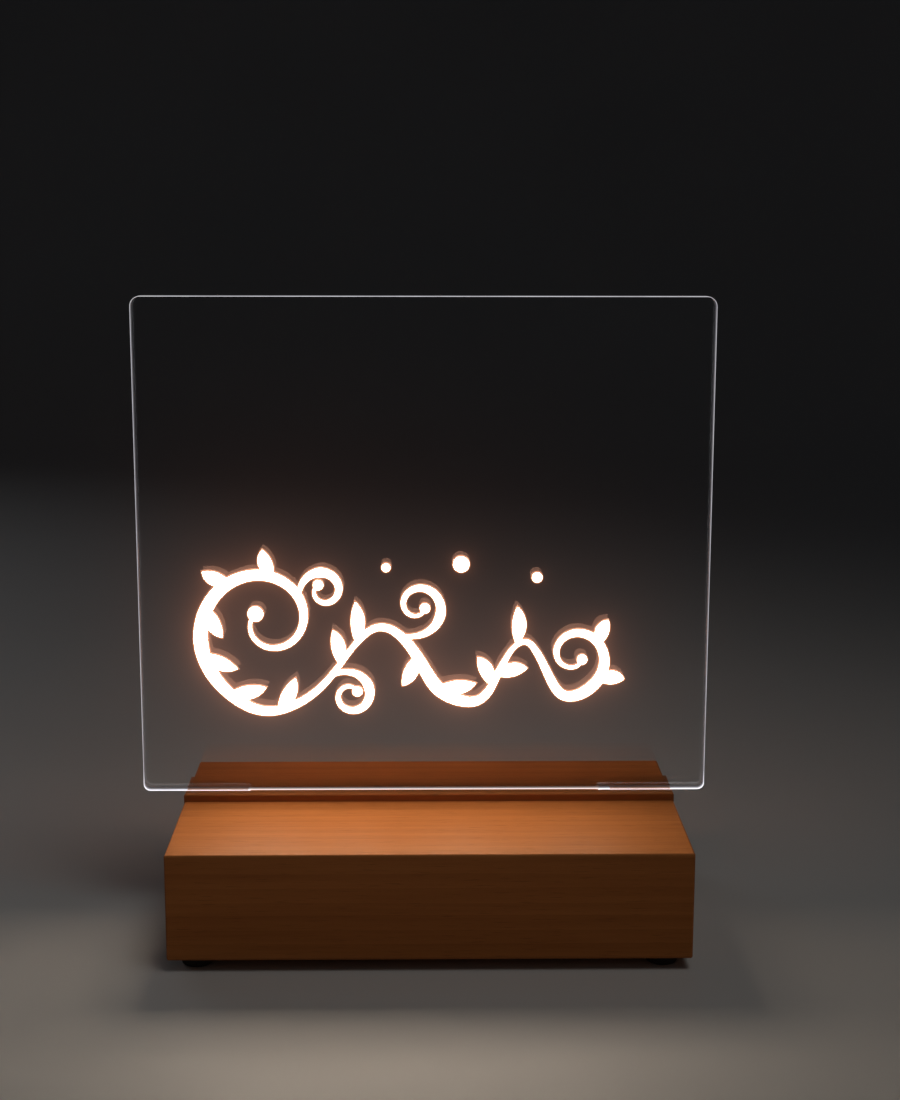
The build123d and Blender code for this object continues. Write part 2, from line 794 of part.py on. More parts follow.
def make_battery_tray():
    """Moulded tray over the cells, screwed to the bottom cover by four lugs."""
    half_x, half_y = bay_length / 2, bay_width / 2
    outer = half_y + tray_wall_thickness
    tray = span(bay_left - tray_wall_thickness, bay_right + tray_wall_thickness,
                bay_y - outer, bay_y + outer, cover_top, tray_roof)
    tray -= span(bay_left, bay_right, bay_y - half_y, bay_y + half_y, cover_top - overrun, tray_ceiling)
    for step in range(1, cell_count):
        y = bay_y - half_y + step * cell_pitch
        reach = half_x - contact_thickness - spring_length
        tray += span(bay_x - reach, bay_x + reach, y - tray_rib_width / 2, y + tray_rib_width / 2,
                     tray_ceiling - tray_rib_height, tray_ceiling)
    for side in (-1, 1):
        tray -= tag_bar(side, tag_clearance)
    for x, y in four_corners(lug_x, outer + lug_width / 2):
        lug = Pos(bay_x + x, bay_y + y, cover_top)
        tray += lug * Box(lug_length, lug_width, lug_thickness, align=upward)
    for x, y in four_corners(lug_x, lug_screw_y):
        tray -= screw_bore(cover_top - overrun, cover_top + lug_thickness + overrun, bay_x + x, bay_y + y)
    return tray


def make_tray_screws():
    """Four small screws down through the tray's lugs into the bottom cover."""
    screw = Rot(180, 0, 0) * pan_screw(tray_screw_length)
    top = cover_top + lug_thickness
    places = four_corners(lug_x, lug_screw_y)
    return Compound([Pos(bay_x + x, bay_y + y, top) * screw for x, y in places])


def tag_y(side):
    """The end cell whose contact leads out of the tray on one side."""
    return cell_places()[-1][0] if side < 0 else cell_places()[0][0]


def tag_bar(side, extra):
    """The part of a solder tag that passes through the tray's end wall."""
    inner = bay_x + side * (bay_length / 2 - contact_thickness)
    outer = bay_x + side * (bay_length / 2 + tray_wall_thickness + contact_thickness)
    low, high = sorted((inner, outer))
    top = tray_ceiling - tag_drop_height
    half = tag_width / 2 + extra
    y = tag_y(side)
    return span(low, high, y - half, y + half, top - contact_thickness - extra, top + extra)


def make_contact_plates():
    """Spring brass contacts: two bridges, and two end contacts with solder tags."""
    low, high = cover_top + contact_thickness, tray_ceiling - contact_thickness
    plates = []
    for side in (-1, 1):
        wall = bay_x + side * bay_length / 2
        x0, x1 = sorted((wall, wall - side * contact_thickness))
        ends = [y for y, _ in cell_places()]
        bridge = ends[:-1] if side < 0 else ends[1:]
        plates.append(span(x0, x1, bridge[0] - contact_width / 2, bridge[-1] + contact_width / 2, low, high))
        y = tag_y(side)
        single = span(x0, x1, y - contact_width / 2, y + contact_width / 2, low, high)
        outer = bay_x + side * (bay_length / 2 + tray_wall_thickness)
        o0, o1 = sorted((outer, outer + side * contact_thickness))
        top = tray_ceiling - tag_drop_height
        tag = span(o0, o1, y - tag_width / 2, y + tag_width / 2, top - tag_length, top)
        plates.append(single + tag_bar(side, 0) + tag)
    return Compound(plates)


def make_contact_springs():
    """Cone springs that press on the cells' flat ends."""
    rise = spring_length - spring_wire_diameter
    slope = -math.degrees(math.atan2(spring_wide_radius - spring_narrow_radius, rise))
    wire_radius = spring_wire_diameter / 2
    coil = Helix(rise / spring_turns, rise, spring_wide_radius, center=(0, 0, wire_radius), cone_angle=slope)
    section = Plane(origin=coil @ 0, z_dir=coil % 0) * Circle(wire_radius)
    wire = sweep(section, path=coil, is_frenet=True)
    gap = math.hypot(rise, spring_wide_radius - spring_narrow_radius) / spring_turns - spring_wire_diameter
    print("spring: least gap between turns", round(gap, 2))
    springs = []
    for y, way in cell_places():
        seat = bay_x - way * (bay_length / 2 - contact_thickness)
        springs.append(Pos(seat, y, cell_z) * Rot(0, 90 * way, 0) * wire)
    return Compound(springs)


# Bottom cover and battery door


def make_bottom_cover():
    """Moulded cover let into the block's underside, with the hatch and the door's grooved track."""
    length = cavity_length + 2 * cover_rim_width - 2 * cover_gap
    width = cavity_depth + 2 * cover_rim_width - 2 * cover_gap
    cover = flat_plate(length, width, cover_radius - cover_gap, block_bottom, cover_top)
    half_x, half_y = bay_length / 2, bay_width / 2
    cover -= span(bay_x - half_x, bay_x + half_x, bay_y - half_y, bay_y + half_y,
                  block_bottom - overrun, cover_top + overrun)
    left = door_left - door_gap
    right = door_left + door_length + door_travel + door_gap
    reach = door_width / 2 + door_gap
    cover -= span(left, right, bay_y - reach, bay_y + reach, block_bottom - overrun, track_top)
    groove = reach + door_tongue_width
    cover -= span(left, right, bay_y - groove, bay_y + groove, lip_top, track_top)
    for x, y in four_corners(boss_x, boss_y):
        cover -= Pos(x, y, block_bottom) * countersunk_hole(
            cover_screw_diameter, cover_screw_head_diameter, cover_screw_length)
    for x, y in four_corners(lug_x, lug_screw_y):
        low = cover_top + lug_thickness - tray_screw_length - screw_clearance
        cover -= screw_bore(low, cover_top + overrun, bay_x + x, bay_y + y)
    return cover


def make_cover_screws():
    """Four countersunk screws up through the cover into the block's corner bosses."""
    screw = countersunk_screw(cover_screw_diameter, cover_screw_head_diameter, cover_screw_length)
    return Compound([Pos(x, y, block_bottom) * screw for x, y in four_corners(boss_x, boss_y)])


def make_battery_door():
    """Sliding door with a tongue along each side and finger grooves at one end."""
    left, right = door_left, door_left + door_length
    half = door_width / 2
    door = span(left, right, bay_y - half, bay_y + half, door_bottom, door_top)
    wide = half + door_tongue_width
    door += span(left, right, bay_y - wide, bay_y + wide, door_top - door_tongue_thickness, door_top)
    for step in range(grip_count):
        x = left + grip_inset + step * grip_pitch
        door -= span(x, x + grip_width, bay_y - grip_length / 2, bay_y + grip_length / 2,
                     door_bottom - overrun, door_bottom + grip_depth)
    return door


# Leads


def lead(points):
    """A lead along straight runs and arcs, each arc as large as its two runs allow."""
    radii = []
    for before, corner, after in zip(points, points[1:], points[2:]):
        one = Vector(*corner) - Vector(*before)
        two = Vector(*after) - Vector(*corner)
        turn = math.radians(one.get_angle(two))
        radii.append(lead_bend_share * min(one.length, two.length) / math.tan(turn / 2))
    path = FilletPolyline(*points, radius=radii)
    tube = sweep(Plane(origin=path @ 0, z_dir=path % 0) * Circle(lead_diameter / 2), path=path)
    section = math.pi * lead_diameter ** 2 / 4
    print("lead: radii", [round(r, 1) for r in radii], "volume", round(tube.volume, 2),
          "section times length", round(section * path.length, 2))
    return tube


def make_lamp_leads():
    """Two leads from the lamp board down to the cover and up to the control board."""
    end_y = control_front + lead_end_inset
    run = Vector(lamp_lead_end_offset - lamp_lead_offset, end_y - slot_y)
    apart = Vector(-run.Y, run.X) * (lead_gap / run.length)
    leads = []
    for side in (-1, 1):
        dx, dy = side * apart.X / 2, side * apart.Y / 2
        leads.append(lead([(lamp_lead_offset + dx, slot_y + dy, trough_top),
                           (lamp_lead_offset + dx, slot_y + dy, lead_z),
                           (lamp_lead_end_offset + dx, end_y + dy, lead_z),
                           (lamp_lead_end_offset + dx, end_y + dy, control_bottom)]))
    return Compound(leads)


def lane_y():
    """The depth of the lane behind the tray in which the battery leads lie."""
    return bay_y + tray_width / 2 + lead_lane_width / 2


def make_battery_leads():
    """Two leads from the end contacts' tags to the control board."""
    out = bay_length / 2 + tray_wall_thickness + contact_thickness + lead_clearance + lead_diameter / 2
    top = tray_ceiling - tag_drop_height
    left, right, end = bay_x - out, bay_x + out, -far_lead_end_offset
    positive = lead([(left, tag_y(-1), top), (left, tag_y(-1), lead_z), (left, lane_y(), lead_z),
                     (end, lane_y(), lead_z), (end, lane_y(), control_bottom)])
    negative = lead([(right, tag_y(1), top), (right, tag_y(1), lead_z),
                     (right, lane_y(), lead_z), (right, lane_y(), control_bottom)])
    return Compound([positive, negative])


def make_lead_clips():
    """Two saddles on the cover over the long battery lead."""
    radius = lead_diameter / 2 + lead_clearance
    wide = radius + clip_wall_thickness
    saddle = Pos(0, 0, cover_top) * Box(clip_length, 2 * wide, lead_z - cover_top + wide, align=upward)
    saddle -= Pos(0, 0, cover_top - overrun) * Box(
        clip_length + overrun, 2 * radius, lead_z - cover_top + overrun, align=upward)
    saddle -= Pos(0, 0, lead_z) * Rot(0, 90, 0) * Cylinder(radius, clip_length + overrun)
    return Compound([Pos(bay_x + side * clip_spacing / 2, lane_y(), 0) * saddle for side in (-1, 1)])


def main():
    """Builds every piece and writes one file for each."""
    os.makedirs("parts", exist_ok=True)
    engraving = make_engraved_motif()
    on_base = {
        "base_block": make_base_block(),
        "lamp_rail": make_lamp_rail(),
        "rubber_feet": make_rubber_feet(),
        "lamp_channel": make_lamp_channel(),
        "channel_screws": make_channel_screws(),
        "lamp_board": make_lamp_board(),
        "lamp_chips": make_lamp_chips(),
        "lamp_resistors": make_lamp_resistors(),
        "rear_bezel": make_rear_bezel(),
        "bezel_screws": make_bezel_screws(),
        "control_board": make_control_board(),
        "board_components": make_board_components(),
        "inlet_shell": make_inlet_shell(),
        "inlet_tongue": make_inlet_tongue(),
        "switch_body": make_switch_body(),
        "switch_plunger": make_switch_plunger(),
        "power_button": make_power_button(),
        "battery_cells": make_battery_cells(),
        "battery_tray": make_battery_tray(),
        "tray_screws": make_tray_screws(),
        "contact_plates": make_contact_plates(),
        "contact_springs": make_contact_springs(),
        "bottom_cover": make_bottom_cover(),
        "cover_screws": make_cover_screws(),
        "battery_door": make_battery_door(),
        "lamp_leads": make_lamp_leads(),
        "battery_leads": make_battery_leads(),
        "lead_clips": make_lead_clips(),
    }
    pieces = {name: Pos(base_x, 0, 0) * piece for name, piece in on_base.items()}
    pieces["acrylic_panel"] = make_acrylic_panel(engraving)
    pieces["engraved_motif"] = engraving
    for name, piece in pieces.items():
        export_step(piece, f"parts/{name}.step")


main()
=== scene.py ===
import math

import bmesh
import bpy
from mathutils import Matrix, Vector


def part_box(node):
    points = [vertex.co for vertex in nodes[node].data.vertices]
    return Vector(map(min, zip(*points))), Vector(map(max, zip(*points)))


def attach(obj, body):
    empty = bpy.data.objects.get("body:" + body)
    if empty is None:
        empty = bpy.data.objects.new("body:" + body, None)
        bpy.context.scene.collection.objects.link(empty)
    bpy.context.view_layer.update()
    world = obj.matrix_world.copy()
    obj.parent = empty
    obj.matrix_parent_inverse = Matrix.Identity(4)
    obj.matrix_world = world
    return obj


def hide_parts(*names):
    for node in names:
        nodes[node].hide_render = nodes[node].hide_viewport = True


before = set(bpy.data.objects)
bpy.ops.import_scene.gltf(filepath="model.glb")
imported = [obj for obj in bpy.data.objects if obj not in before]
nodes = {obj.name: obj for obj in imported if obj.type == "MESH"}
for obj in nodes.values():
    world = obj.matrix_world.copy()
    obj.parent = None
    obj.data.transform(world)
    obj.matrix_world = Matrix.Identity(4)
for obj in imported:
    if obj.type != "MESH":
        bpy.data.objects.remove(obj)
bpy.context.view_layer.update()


# The camera
# It stands half a metre in front of the sign, a little above its top edge, and looks down on the ledge, as
# the photograph does. The angles come from a fit of the panel's and the base's edges.
camera_place = Vector((-0.00097, -0.54521, 0.21887))
camera_pitch = math.radians(10.91)
camera_yaw = math.radians(-0.904)
camera_roll = math.radians(0.107)
camera_data = bpy.data.cameras.new("camera")
camera_data.lens = 61.11
camera_data.sensor_width = 36.0
camera_data.clip_start = 0.01
camera = bpy.data.objects.new("camera", camera_data)
bpy.context.collection.objects.link(camera)
upright = Matrix(((1, 0, 0), (0, 0, -1), (0, 1, 0)))
pitched = Matrix(((1, 0, 0), (0, math.cos(camera_pitch), -math.sin(camera_pitch)),
                  (0, math.sin(camera_pitch), math.cos(camera_pitch))))
turned = Matrix(((math.cos(camera_yaw), math.sin(camera_yaw), 0),
                 (-math.sin(camera_yaw), math.cos(camera_yaw), 0), (0, 0, 1)))
rolled = Matrix(((math.cos(camera_roll), -math.sin(camera_roll), 0),
                 (math.sin(camera_roll), math.cos(camera_roll), 0), (0, 0, 1)))
right, down, ahead = rolled @ pitched @ upright @ turned
camera.matrix_world = Matrix.Translation(camera_place) @ Matrix((right, -down, -ahead)).transposed().to_4x4()
bpy.context.scene.camera = camera


# The floor
# A round studio floor of pale matt board that sweeps up into its own wall, so that it has no horizon from
# any side. It isn't part of the object.
class Finish:
    """A material in the making: one shader, and the grain, ramps and bump that drive it."""

    def __init__(self, name, sockets):
        self.material = bpy.data.materials.new(name)
        self.material.use_nodes = True
        self.tree = self.material.node_tree
        self.shader = self.tree.nodes["Principled BSDF"]
        self.place = self.tree.nodes.new("ShaderNodeTexCoord").outputs["Object"]
        for socket, value in sockets.items():
            self.set(socket, value)

    def set(self, socket, value):
        """Gives the shader's socket a constant or another node's output."""
        self.fill(self.shader.inputs[socket], value)

    def fill(self, socket, value):
        """Gives any socket a constant or another node's output."""
        if isinstance(value, bpy.types.NodeSocket):
            self.tree.links.new(value, socket)
        else:
            socket.default_value = value

    def add(self, kind, inputs, output=0, **settings):
        """A new node with its settings and inputs. Returns one of its outputs."""
        node = self.tree.nodes.new("ShaderNode" + kind)
        for name, value in settings.items():
            setattr(node, name, value)
        for name, value in inputs.items():
            self.fill(node.inputs[name], value)
        return node.outputs[output]

    def stretched(self, scale, shift=(0, 0, 0), turn=(0, 0, 0)):
        """The object's own coordinates, stretched so that a grain runs along an axis."""
        return self.add("Mapping", {"Vector": self.place, "Scale": scale, "Location": shift,
                                    "Rotation": turn})

    def grain(self, size, stretch=(1, 1, 1), detail=3.0, rough=0.5, shift=(0, 0, 0)):
        """Noise whose features are about size metres across."""
        return self.add("TexNoise", {"Vector": self.stretched(stretch, shift), "Scale": 1 / size,
                                     "Detail": detail, "Roughness": rough})

    def ramp(self, factor, *stops):
        """Colours or values along a factor, from (place, colour) stops."""
        output = self.add("ValToRGB", {"Fac": factor})
        ramp = output.node.color_ramp
        while len(ramp.elements) < len(stops):
            ramp.elements.new(0.5)
        for element, (at, color) in zip(ramp.elements, stops):
            element.position = at
            element.color = (color, color, color, 1) if isinstance(color, (int, float)) else (*color, 1)
        return output

    def mix(self, factor, one, two):
        """Two colours mixed by a factor."""
        return self.add("MixRGB", {"Fac": factor, "Color1": one, "Color2": two})

    def math(self, operation, one, two=0.0, three=0.0):
        """A sum, a product or a test of values or of other nodes' outputs."""
        return self.add("Math", {0: one, 1: two, 2: three}, operation=operation)

    def along(self, axis):
        """The object's own coordinate along one axis."""
        return self.add("SeparateXYZ", {"Vector": self.place}, axis)

    def scaled(self, value, low, high):
        """A value from 0 to 1, mapped between low and high."""
        return self.add("MapRange", {"Value": value, "To Min": low, "To Max": high})

    def bump(self, height, depth, strength=1.0, below=None):
        """Relief of a real depth in metres, on top of the relief below it."""
        inputs = {"Height": height, "Distance": depth, "Strength": strength}
        if below is not None:
            inputs["Normal"] = below
        normal = self.add("Bump", inputs)
        self.set("Normal", normal)
        return normal


floor_flat_radius = 1.0
floor_sweep_radius = 0.9
floor_wall_height = 1.5
floor_sides = 96
floor_sweep_steps = 24
profile = [(0.0, 0.0), (floor_flat_radius / 2, 0.0)]
for step in range(floor_sweep_steps + 1):
    angle = math.pi / 2 * step / floor_sweep_steps
    profile.append((floor_flat_radius + floor_sweep_radius * math.sin(angle),
                    floor_sweep_radius * (1 - math.cos(angle))))
profile.append((floor_flat_radius + floor_sweep_radius, floor_wall_height))
floor_mesh = bmesh.new()
rings = [[floor_mesh.verts.new((radius * math.cos(2 * math.pi * side / floor_sides),
                                radius * math.sin(2 * math.pi * side / floor_sides), height))
          for side in range(floor_sides)] for radius, height in profile[1:]]
floor_mesh.faces.new(rings[0])
for inner, outer in zip(rings, rings[1:]):
    for side in range(floor_sides):
        after = (side + 1) % floor_sides
        floor_mesh.faces.new((inner[side], outer[side], outer[after], inner[after]))
floor_data = bpy.data.meshes.new("studio_floor")
floor_mesh.to_mesh(floor_data)
floor_mesh.free()
floor_data.shade_smooth()
studio_floor = bpy.data.objects.new("studio_floor", floor_data)
bpy.context.collection.objects.link(studio_floor)
board = Finish("pale_board", {"Roughness": 0.55})
board.set("Base Color", board.ramp(board.grain(0.25, detail=2),
                                   (0.3, (0.66, 0.65, 0.635)), (0.7, (0.70, 0.69, 0.675))))
board.bump(board.grain(0.002, detail=2), 0.00005, 0.3)
floor_data.materials.append(board.material)


# The light
# One soft lamp above, held to the sign and the floor round it, a cooler one low behind on the left, for the
# rear face and the plastics in it, and a weak one for the front face. The painted glow of the engraving and
# the panel's edges does the rest.
def soft_lamp(name, place, aim, width, height, power, color, spread=70):
    """A rectangular lamp that shines towards aim. Its spread is in degrees."""
    data = bpy.data.lights.new(name, "AREA")
    data.shape = "RECTANGLE"
    data.size, data.size_y = width, height
    data.energy = power
    data.color = color
    data.spread = math.radians(spread)
    lamp = bpy.data.objects.new(name, data)
    lamp.location = place
    lamp.rotation_euler = (Vector(aim) - Vector(place)).to_track_quat("-Z", "Y").to_euler()
    bpy.context.collection.objects.link(lamp)


object_middle = (0.0, 0.0, 0.08)
soft_lamp("key_lamp", (0.28, -0.30, 1.05), (0.0, -0.06, 0.04), 0.5, 0.5, 0.10, (1.0, 0.96, 0.91), 48)
soft_lamp("back_lamp", (-0.70, 0.90, 0.35), object_middle, 0.5, 0.4, 0.10, (0.92, 0.96, 1.0))
soft_lamp("front_lamp", (0.30, -1.0, 0.75), object_middle, 0.9, 0.9, 0.03, (1.0, 0.97, 0.94))
world = bpy.data.worlds.new("studio")
world.use_nodes = True
world.node_tree.nodes["Background"].inputs["Color"].default_value = (0.010, 0.0105, 0.012, 1)
bpy.context.scene.world = world


# The base block
# A block of close-grained hardwood, hollowed from below and oiled. Its grain runs along its length, its
# edges are eased by hand, and its end faces show the ends of the fibres.
def dress(node, finish):
    """Gives every face of a CAD piece one finish."""
    mesh = nodes[node].data
    mesh.materials.clear()
    mesh.materials.append(finish.material)


def hardwood(name, shift, painted_shade_tone=1.0):
    """Oiled close-grained wood: broad bands, growth lines, fibres and fine pores, all along X.
    A tone below one darkens all its colours as painted shade.
    """
    wood = Finish(name, {"Specular IOR Level": 0.12})
    bands = wood.grain(0.022, (0.06, 1, 1), 2, 0.5, shift)
    lines = wood.add("TexWave", {"Vector": wood.stretched((0.035, 1, 1), shift, (math.radians(52), 0, 0)),
                                 "Scale": 95.0, "Distortion": 5.0, "Detail": 3.0, "Detail Scale": 0.6,
                                 "Detail Roughness": 0.6}, "Fac", wave_type="BANDS", bands_direction="Y",
                     wave_profile="SAW")
    fibres = wood.grain(0.0008, (0.025, 1, 1), 4, 0.6, shift)
    streaks = wood.grain(0.0045, (0.045, 1, 1), 4, 0.6, shift)
    pores = wood.ramp(wood.grain(0.00038, (0.05, 1, 1), 2, 0.5, shift), (0.60, 0), (0.70, 1))
    tone = wood.math("MULTIPLY", streaks, 0.30)
    tone = wood.math("MULTIPLY_ADD", fibres, 0.22, tone)
    tone = wood.math("MULTIPLY_ADD", bands, 0.34, tone)
    tone = wood.math("MULTIPLY_ADD", lines, 0.10, tone)
    color = wood.ramp(tone, (0.34, (0.435 * painted_shade_tone, 0.142 * painted_shade_tone, 0.034 * painted_shade_tone)),
                      (0.50, (0.530 * painted_shade_tone, 0.184 * painted_shade_tone, 0.048 * painted_shade_tone)),
                      (0.66, (0.612 * painted_shade_tone, 0.228 * painted_shade_tone, 0.063 * painted_shade_tone)))
    wood.set("Base Color", wood.mix(wood.math("MULTIPLY", pores, 0.32), color, (0.200, 0.062, 0.018, 1)))
    dull = wood.math("MULTIPLY_ADD", pores, 0.5, wood.math("MULTIPLY", fibres, 0.5))
    wood.set("Roughness", wood.scaled(dull, 0.46, 0.66))
    raised = wood.bump(fibres, 0.00004, 0.5)
    wood.bump(wood.math("SUBTRACT", 1.0, pores), 0.00005, 0.6, raised)
    return wood


dress("base_block", hardwood("oiled_hardwood", (0.02, 0.031, 0.085)))


# The rail
# A strip of the same wood, planed to size and glued into a groove across the block. The panel stands in the
# slot that is milled through it.
# The rail's wood is painted 8% darker than the block's: painted shade for the strip that stands under the
# panel.
dress("lamp_rail", hardwood("oiled_hardwood_rail_painted_shade", (0.11, 0.052, 0.074), 0.92))


# The feet
# Four soft rubber feet, moulded with a slight taper and stuck under the block's corners. They hold it off
# the table and keep it from sliding.
rubber = Finish("foot_rubber", {"Roughness": 0.8, "Specular IOR Level": 0.3})
rubber.set("Base Color", rubber.ramp(rubber.grain(0.0015),
                                     (0.3, (0.020, 0.020, 0.021)), (0.7, (0.035, 0.034, 0.034))))
rubber.bump(rubber.grain(0.0003, detail=4), 0.00003, 0.6)
dress("rubber_feet", rubber)


# The lamp channel and its screws
# A white moulded trough under the slot that throws the lamps' light up into the panel's edge. Two flanges
# and four small screws hold it against the wood.
def moulded(name, low, high, roughness=0.5, texture=0.00025, depth=0.00002):
    """Moulded plastic with a fine spark-eroded texture and a slight drift in tone."""
    plastic = Finish(name, {"Specular IOR Level": 0.45})
    fine = plastic.grain(texture, detail=3)
    drift = plastic.grain(0.02, detail=2)
    tone = plastic.math("MULTIPLY_ADD", fine, 0.4, plastic.math("MULTIPLY", drift, 0.6))
    plastic.set("Base Color", plastic.ramp(tone, (0.35, low), (0.65, high)))
    plastic.set("Roughness", plastic.scaled(fine, roughness - 0.08, roughness + 0.10))
    plastic.bump(fine, depth, 0.8)
    return plastic


def plated(name, low, high, roughness=0.3):
    """Plated steel with drawn marks and faint stains."""
    steel = Finish(name, {"Metallic": 1.0})
    marks = steel.grain(0.0008, (1, 1, 0.1), 4)
    stains = steel.grain(0.004, detail=3)
    steel.set("Base Color", steel.ramp(stains, (0.3, low), (0.7, high)))
    steel.set("Roughness", steel.scaled(marks, roughness - 0.1, roughness + 0.15))
    steel.bump(marks, 0.00001, 0.5)
    return steel


zinc = plated("zinc_plate", (0.48, 0.48, 0.46), (0.66, 0.66, 0.63))
dress("lamp_channel", moulded("white_moulding", (0.74, 0.74, 0.72), (0.84, 0.84, 0.82)))
dress("channel_screws", zinc)


# The lamp board, its chips and its resistors
# A narrow white board with a row of warm lamps, each a white case round a yellow phosphor window, and a
# resistor between each two.
mask = Finish("white_solder_mask", {"Roughness": 0.35})
tracks = mask.add("TexBrick", {"Vector": mask.place, "Scale": 260.0, "Mortar Size": 0.06,
                               "Color1": (0.80, 0.81, 0.79, 1), "Color2": (0.76, 0.77, 0.75, 1),
                               "Mortar": (0.66, 0.67, 0.64, 1)})
mask.set("Base Color", tracks)
mask.bump(mask.grain(0.0006), 0.00001, 0.5)
dress("lamp_board", mask)
chips = Finish("lamp_chip", {"Roughness": 0.4, "Emission Strength": 14.0})
window_depth = 0.0001
window = chips.math("GREATER_THAN", chips.along("Z"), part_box("lamp_chips")[1].z - window_depth)
phosphor = chips.ramp(chips.grain(0.0004, detail=2), (0.3, (0.85, 0.60, 0.12)), (0.7, (0.95, 0.74, 0.22)))
chips.set("Base Color", chips.mix(window, (0.84, 0.84, 0.80, 1), phosphor))
chips.set("Emission Color", chips.mix(window, (0, 0, 0, 1), (1.0, 0.72, 0.44, 1)))
dress("lamp_chips", chips)
ceramic = moulded("resistor_ceramic", (0.03, 0.03, 0.03), (0.06, 0.06, 0.06), 0.4)
dress("lamp_resistors", ceramic)


# The lamp leads
# Two stranded leads in white vinyl, soldered at both ends. They run from the lamp board down to the cover and
# back up to the control board.
def vinyl(name, low, high):
    """Smooth lead insulation with a waxy sheen."""
    coat = Finish(name, {"Roughness": 0.38})
    coat.set("Base Color", coat.ramp(coat.grain(0.003), (0.3, low), (0.7, high)))
    coat.bump(coat.grain(0.0006), 0.00001, 0.5)
    return coat


dress("lamp_leads", vinyl("white_vinyl", (0.66, 0.65, 0.60), (0.76, 0.75, 0.71)))


# The rear bezel and its screws
# A black plate let into the block's back, with the inlet's slot and a dished round hole for the button. It
# is moulded in one with the rails that hold the control board, and two black countersunk screws hold it.
black_moulding = moulded("black_moulding", (0.026, 0.026, 0.027), (0.042, 0.042, 0.043), 0.48)
dress("rear_bezel", black_moulding)
black_zinc = plated("black_zinc", (0.07, 0.07, 0.072), (0.14, 0.138, 0.132), 0.35)
dress("bezel_screws", black_zinc)


# The control board and what stands on it
# A green board that slides into the bezel's rails, with a driver, a coil and small parts soldered to it, the
# push switch and the steel inlet.
laminate = Finish("green_solder_mask", {"Roughness": 0.3, "Coat Weight": 0.3})
lanes = laminate.add("TexBrick", {"Vector": laminate.place, "Scale": 420.0, "Mortar Size": 0.09,
                                  "Color1": (0.012, 0.095, 0.040, 1), "Color2": (0.010, 0.080, 0.034, 1),
                                  "Mortar": (0.030, 0.170, 0.080, 1)})
laminate.set("Base Color", lanes)
laminate.bump(laminate.grain(0.0008), 0.00001, 0.5)
dress("control_board", laminate)
dress("board_components", moulded("moulded_epoxy", (0.020, 0.020, 0.020), (0.045, 0.045, 0.045), 0.42))
dress("switch_body", moulded("switch_nylon", (0.03, 0.03, 0.03), (0.05, 0.05, 0.05), 0.45))
dress("switch_plunger", moulded("plunger_nylon", (0.40, 0.38, 0.34), (0.50, 0.48, 0.44), 0.45))
dress("inlet_shell", plated("nickel_plate", (0.62, 0.61, 0.58), (0.76, 0.75, 0.72), 0.25))
dress("inlet_tongue", moulded("tongue_nylon", (0.010, 0.010, 0.010), (0.020, 0.020, 0.020), 0.4))


# The power button
# A satin black cap, moulded with a flange that keeps it in the bezel. It presses the switch's plunger, which
# carries it back out.
button_cap = moulded("button_cap", (0.075, 0.075, 0.078), (0.105, 0.105, 0.108), 0.32, 0.0004, 0.00001)
dress("power_button", button_cap)


# The battery tray, its screws, and the cells
# A moulded tray over three slim cells in series. Each cell is a steel can in a plain green film jacket,
# with a pale band round its raised end.
dress("battery_tray", moulded("tray_moulding", (0.030, 0.030, 0.032), (0.048, 0.048, 0.050), 0.5))
dress("tray_screws", zinc)
cells = Finish("cell_jacket", {"Roughness": 0.32, "Coat Weight": 0.4})
cells_low, cells_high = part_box("battery_cells")
cells_middle = (cells_low + cells_high) / 2
half_length = (cells_high.x - cells_low.x) / 2
half_cell_width = (cells_high.y - cells_low.y) / 6
cap_length = 0.0032
band_length = 0.012
from_middle = cells.math("SUBTRACT", cells.along("X"), cells_middle.x)
metal_end = cells.math("GREATER_THAN", cells.math("ABSOLUTE", from_middle), half_length - cap_length)
aside = cells.math("ABSOLUTE", cells.math("SUBTRACT", cells.along("Y"), cells_middle.y))
turned_round = cells.math("MULTIPLY_ADD", cells.math("LESS_THAN", aside, half_cell_width), 2.0, -1.0)
banded = cells.math("GREATER_THAN", cells.math("MULTIPLY", from_middle, turned_round),
                    half_length - band_length)
film = cells.ramp(cells.grain(0.004), (0.3, (0.050, 0.125, 0.112)), (0.7, (0.070, 0.160, 0.142)))
jacket = cells.mix(banded, film, (0.60, 0.61, 0.58, 1))
cells.set("Base Color", cells.mix(metal_end, jacket, (0.62, 0.61, 0.58, 1)))
cells.set("Metallic", metal_end)
cells.bump(cells.grain(0.001), 0.00001, 0.5)
dress("battery_cells", cells)


# The contacts, their springs, and the battery leads
# Nickel-plated bridges and end contacts at both ends of the tray, cone springs at the cells' flat ends, and
# the two leads with their clips.
contact = plated("contact_nickel", (0.60, 0.58, 0.53), (0.74, 0.72, 0.67), 0.28)
dress("contact_plates", contact)
dress("contact_springs", contact)
battery_vinyl = Finish("red_and_black_vinyl", {"Roughness": 0.38})
black_lead_width = 0.0012
black_lead = battery_vinyl.math("GREATER_THAN", battery_vinyl.along("X"),
                                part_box("battery_leads")[1].x - black_lead_width)
battery_vinyl.set("Base Color", battery_vinyl.mix(black_lead, (0.42, 0.012, 0.010, 1),
                                                  (0.012, 0.012, 0.012, 1)))
battery_vinyl.bump(battery_vinyl.grain(0.0006), 0.00001, 0.5)
dress("battery_leads", battery_vinyl)
dress("lead_clips", moulded("clip_nylon", (0.68, 0.68, 0.66), (0.76, 0.76, 0.74), 0.45))


# The bottom cover, its screws, and the battery door
# A black moulded plate let into the block's underside, with the track of the sliding door. The door has
# finger grooves at its left end.
grit_size = 0.00035
grit_depth = 0.00004
dress("bottom_cover", moulded("cover_moulding", (0.024, 0.024, 0.025), (0.040, 0.040, 0.041), 0.55,
                              grit_size, grit_depth))
dress("cover_screws", black_zinc)
dress("battery_door", moulded("door_moulding", (0.027, 0.027, 0.028), (0.044, 0.044, 0.045), 0.5,
                              grit_size, grit_depth))
